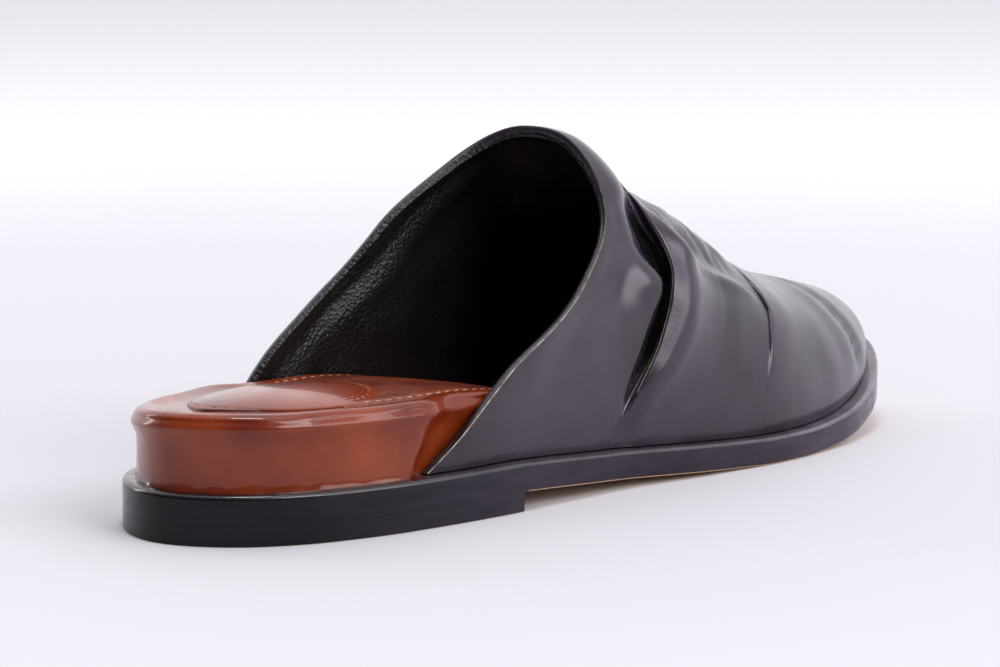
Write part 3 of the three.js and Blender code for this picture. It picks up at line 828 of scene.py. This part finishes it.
# Puffs and ridges round the rear tuck, and the wall's foot drawn in against the sole.
bulge = 0.8 * hump(angle_grid, 25, 4) * hump(along_grid, 133, 6)
tail_ridge = 0.7 * hump(angle_grid, 3, 6) * hump(along_grid, 127 + 0.6 * angle_grid, 4)
roll = 0.8 * ease((angle_grid - 8) / 14) * ease((70 - angle_grid) / 30) * hump(along_grid, rear_at + 4, 4)
foot_curl = -(hump(angle_grid, 0, 1.3) + hump(angle_grid, 180, 1.3))
drape = creases - hollow + crest + 0.6 * soft + 0.5 * in_hollow * wrinkle
drape = drape + collar + bulge + tail_ridge + roll + foot_curl
fade_toe = ease((upper_end - along_grid) / 6)
normals = last_normal(along_grid, turn_grid)
outer_places = base_places + normals * ((out_grid + drape) * fade_toe)[..., None]
lining_places = base_places + normals * ((in_grid + drape) * fade_toe - wall)[..., None]
outer_places[-1] = last_surface(np.array(upper_end), np.array(math.pi / 2))
lining_places[-1] = outer_places[-1] - (0, wall, 0)

# The flat sheet gets its thickness and three cuts round its edges, and it is draped.
bpy.ops.object.select_all(action="DESELECT")
bpy.ops.mesh.primitive_grid_add(x_subdivisions=columns, y_subdivisions=rows, size=1)
upper = bpy.context.active_object
upper.name = "upper_dressed"
thickness = upper.modifiers.new("thickness", "SOLIDIFY")
thickness.thickness = 1
thickness.offset = -1
bpy.ops.object.modifier_apply(modifier=thickness.name)
flat_sheet = np.array([vertex.co[:] for vertex in upper.data.vertices])
bpy.ops.object.mode_set(mode="EDIT")
bpy.ops.mesh.select_mode(type="EDGE")
bpy.ops.mesh.select_all(action="DESELECT")
bpy.ops.object.mode_set(mode="OBJECT")
for edge in upper.data.edges:
    a, b = edge.vertices
    edge.select = bool(abs(flat_sheet[a][2] - flat_sheet[b][2]) > 0.5)
bpy.ops.object.mode_set(mode="EDIT")
bpy.ops.mesh.subdivide(number_cuts=3)
bpy.ops.object.mode_set(mode="OBJECT")
flat_sheet = np.array([vertex.co[:] for vertex in upper.data.vertices])
column_of = np.round((flat_sheet[:, 0] + 0.5) * columns).astype(int)
row_of = np.round((flat_sheet[:, 1] + 0.5) * rows).astype(int)
under_face = flat_sheet[:, 2].max() - flat_sheet[:, 2]
depth = np.interp(under_face, (0, 0.25, 0.5, 0.75, 1), (0, 0.13, 0.5, 0.86, 1))
turned_thickness = 0.55
turned_width = 5.2
turned_edge = turned_thickness * ease((turned_width - mouth_away) / 0.8) * (mouth_away > 0.2)
lining_places -= normals * turned_edge[..., None]
placed = outer_places[row_of, column_of] * (1 - depth)[:, None]
placed += lining_places[row_of, column_of] * depth[:, None]
backward = outer_places[0, column_of] - outer_places[2, column_of]
backward /= np.linalg.norm(backward, axis=1)[:, None]
edge_bulge = 0.45
placed += backward * (edge_bulge * (1 - (2 * depth - 1) ** 2) * (row_of == 0))[:, None]
upper.data.vertices.foreach_set("co", (placed * mm).ravel())
upper.data.update()

upper_leather, nodes, links, shader, place = new_leather(
    "black_upper_leather", (0.012, 0.010, 0.014), 0.27, Sheen_Weight=0.05, Sheen_Roughness=0.4,
    Specular_IOR_Level=0.5, Coat_Weight=0.4, Coat_Roughness=0.25)
shader.inputs["Sheen Tint"].default_value = (0.8, 0.66, 0.9, 1)
shader.inputs["Specular Tint"].default_value = (1, 0.84, 1, 1)
grain = pebbled(nodes, links, place, 1500)
broad = cloudy(nodes, links, place, 45, detail=5)
from_crown = nodes.new("ShaderNodeVectorMath")
from_crown.operation = "DISTANCE"
crown_crease_place = last_surface(np.array(154.0), np.array(math.radians(57)))
from_crown.inputs[1].default_value = tuple(crown_crease_place * mm)
links.new(place, from_crown.inputs[0])
near_crown = shades(nodes, links, from_crown.outputs["Value"], [(0.004, 1.0), (0.017, 0.0)])
crown_creases = nodes.new("ShaderNodeMath")
crown_creases.operation = "MULTIPLY"
links.new(near_crown, crown_creases.inputs[0])
links.new(cloudy(nodes, links, place, 480, detail=3, stretch=(0.6, 1, 1)), crown_creases.inputs[1])
links.new(shades(nodes, links, broad, [(0.3, (0.003, 0.0018, 0.0045)), (0.7, (0.022, 0.013, 0.028))]),
          shader.inputs["Base Color"])
links.new(shades(nodes, links, cloudy(nodes, links, place, 90, detail=5), [(0.3, 0.2), (0.7, 0.34)]),
          shader.inputs["Roughness"])
relief(nodes, links, shader, [
    (cloudy(nodes, links, place, 48, detail=2), 0.6 * mm), (grain, 0.02 * mm),
    (cloudy(nodes, links, place, 800), 0.02 * mm), (crown_creases.outputs["Value"], 0.5 * mm)])

lining_leather, nodes, links, shader, place = new_leather(
    "black_lining", (0.006, 0.006, 0.006), 0.38, Specular_IOR_Level=0.4)
pebbles = pebbled(nodes, links, place, 1100)
links.new(shades(nodes, links, cloudy(nodes, links, place, 70), [
    (0.3, (0.004, 0.004, 0.004)), (0.7, (0.010, 0.009, 0.009))]), shader.inputs["Base Color"])
relief(nodes, links, shader, [(pebbles, 0.2 * mm), (cloudy(nodes, links, place, 120), 0.4 * mm)])

raw_edge, nodes, links, shader, place = new_leather("raw_leather_edge", (0.40, 0.33, 0.25), 0.75)
fibres = cloudy(nodes, links, place, 600)
fibre_colour = shades(nodes, links, fibres, [(0.32, (0.24, 0.18, 0.12)), (0.62, (0.62, 0.53, 0.42))])
browner = toned_along(nodes, links, place, "Z", 0, 0.1, [(0.31, 1.0), (0.42, 0.5), (0.6, 0.22)])
links.new(multiplied(nodes, links, fibre_colour, browner), shader.inputs["Base Color"])
relief(nodes, links, shader, [(fibres, 0.1 * mm)])

mouth_edge, nodes, links, shader, place = new_leather("rubbed_mouth_edge", (0.2, 0.16, 0.12), 0.7)
dark_top = toned_along(nodes, links, place, "Z", 0, 0.1, [(0.4, 1.0), (0.66, 0.35), (0.8, 0.06)])
rub_and_painted_light = shades(nodes, links, cloudy(nodes, links, place, 420, detail=6), [
    (0.34, (0.10, 0.08, 0.06)), (0.6, (0.52, 0.45, 0.36))])
links.new(multiplied(nodes, links, rub_and_painted_light, dark_top), shader.inputs["Base Color"])
relief(nodes, links, shader, [(cloudy(nodes, links, place, 700), 0.1 * mm)])

# A darker copy of the upper leather for the pocket under the lip: painted shade.
pocket_painted_shade, nodes, links, shader, place = new_leather(
    "shaded_pocket_leather", (0.005, 0.004, 0.005), 0.3, Specular_IOR_Level=0.4)
folds = cloudy(nodes, links, place, 330, detail=5)
links.new(shades(nodes, links, folds, [(0.35, (0.002, 0.002, 0.002)), (0.75, (0.012, 0.010, 0.009))]),
          shader.inputs["Base Color"])
relief(nodes, links, shader, [(folds, 0.5 * mm), (pebbled(nodes, links, place, 1300), 0.06 * mm)])

# The lining covers the inside, and the raw edges have leathers of their own. The pocket under the tuck's
# lip gets a darker copy of the upper leather, painted shade in the recess.
for leather in (upper_leather, lining_leather, raw_edge, mouth_edge, pocket_painted_shade):
    upper.data.materials.append(leather)
rear_fold = slice(first_fold_row, first_fold_row + len(rear_flats))
pocket_rows = np.zeros(rows + 1, bool)
pocket_rows[rear_fold] = rear_flats < -1.3
lip_rows = np.zeros(rows + 1, bool)
lip_rows[rear_fold] = (rear_flats > -0.55) & (rear_flats < -0.35)
for face in upper.data.polygons:
    corners = list(face.vertices)
    face_rows, face_columns = row_of[corners], column_of[corners]
    deep = depth[corners].mean()
    on_outside = deep < 0.01
    at_mouth = (face_rows == 0).all()
    on_lip = lip_rows[face_rows].all() and rear_power[face_columns].min() > 0.45
    in_pocket = pocket_rows[face_rows].all() and out_grid[face_rows, face_columns].max() < -1.9
    if deep > 0.45:
        face.material_index = 1
    elif at_mouth and deep < 0.12:
        face.material_index = 3
    elif on_outside and on_lip and angles[face_columns].max() < 80:
        face.material_index = 2
    # Faces deep in the pocket take the painted shade.
    elif on_outside and in_pocket:
        face.material_index = 4
    else:
        face.material_index = 0
bpy.ops.object.mode_set(mode="EDIT")
bpy.ops.mesh.select_all(action="SELECT")
bpy.ops.mesh.remove_doubles(threshold=0.01 * mm)
bpy.ops.mesh.normals_make_consistent(inside=False)
bpy.ops.object.mode_set(mode="OBJECT")
bpy.ops.object.shade_smooth_by_angle(angle=math.radians(50))
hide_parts("upper")
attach(upper, "root")


# Floor: pale paper under soft studio light, painted darker toward the shoe as painted shade.

bpy.ops.mesh.primitive_plane_add(size=60)
floor = bpy.context.active_object
floor.name = "floor"
paper, nodes, links, shader, place = new_leather(
    "pale_paper", (0.90, 0.89, 0.93), 0.8, Specular_IOR_Level=0.3)
from_shoe = nodes.new("ShaderNodeVectorMath")
from_shoe.operation = "LENGTH"
links.new(place, from_shoe.inputs[0])
# The paper is painted greyer within about a metre of the shoe: painted shade.
links.new(shades(nodes, links, from_shoe.outputs["Value"], [
    (0.12, (0.64, 0.63, 0.66)), (0.5, (0.72, 0.71, 0.74)), (1.0, (0.95, 0.95, 0.96))]),
    shader.inputs["Base Color"])
floor.data.materials.append(paper)


def softbox(name, position, target, size, power, colour=(1, 1, 1)):
    """A rectangular light with its place, aim, size and power."""
    light = bpy.data.lights.new(name, "AREA")
    light.shape = "RECTANGLE"
    light.size, light.size_y = size
    light.energy = power
    light.color = colour
    lamp = bpy.data.objects.new(name, light)
    bpy.context.scene.collection.objects.link(lamp)
    lamp.location = position
    lamp.rotation_euler = (Vector(target) - Vector(position)).to_track_quat("-Z", "Y").to_euler()


softbox("overhead", (0.15, -0.15, 1.7), (0, 0, 0.03), (0.42, 0.42), 8)
softbox("side_window", (2.8, -0.3, 2.3), (0, 0.05, 0.05), (1.2, 1.6), 36)
softbox("low_window", (2.4, 0.75, 1.1), (0, 0.02, 0.04), (1.5, 1.5), 24)
softbox("left_strip", (-2.2, -0.5, 0.55), (0, -0.1, 0.03), (0.3, 1.4), 7)
world = bpy.data.worlds.new("studio")
bpy.context.scene.world = world
world.use_nodes = True
nodes, links = world.node_tree.nodes, world.node_tree.links
sky_place = nodes.new("ShaderNodeTexCoord")
sky_side = nodes.new("ShaderNodeVectorMath")
sky_side.operation = "DOT_PRODUCT"
sky_side.inputs[1].default_value = (-0.22, 0.74, 0.63)
links.new(sky_place.outputs["Generated"], sky_side.inputs[0])
links.new(shades(nodes, links, sky_side.outputs["Value"], [
    (0.0, (0.07, 0.065, 0.085)), (0.15, (0.22, 0.21, 0.25)), (0.42, (0.84, 0.83, 0.88)),
    (1.0, (0.97, 0.96, 1.0))]),
    nodes["Background"].inputs["Color"])
nodes["Background"].inputs["Strength"].default_value = 1.22
bpy.context.scene.view_settings.view_transform = "Standard"


# Camera: at the photograph's place, turned so that the one shoe fills the frame.

camera_data = bpy.data.cameras.new("camera")
camera_data.sensor_width = 36
camera_data.lens = 115
camera = bpy.data.objects.new("camera", camera_data)
bpy.context.scene.collection.objects.link(camera)
camera.location = (0.52155, -0.59859, 0.14338)
camera_right = Vector((0.70920, 0.70499, 0.00510))
camera_up = Vector((-0.08480, 0.07812, 0.99333))
camera_back = Vector((0.69989, -0.70490, 0.11518))
turned_right = 0.0535
turned_down = 0.0234
camera_roll = math.radians(0.294)
aim = camera_right * turned_right - camera_up * turned_down - camera_back
camera.rotation_euler = (aim.to_track_quat("-Z", "Y") @ Quaternion((0, 0, 1), camera_roll)).to_euler()
bpy.context.scene.camera = camera

bpy.context.view_layer.update()
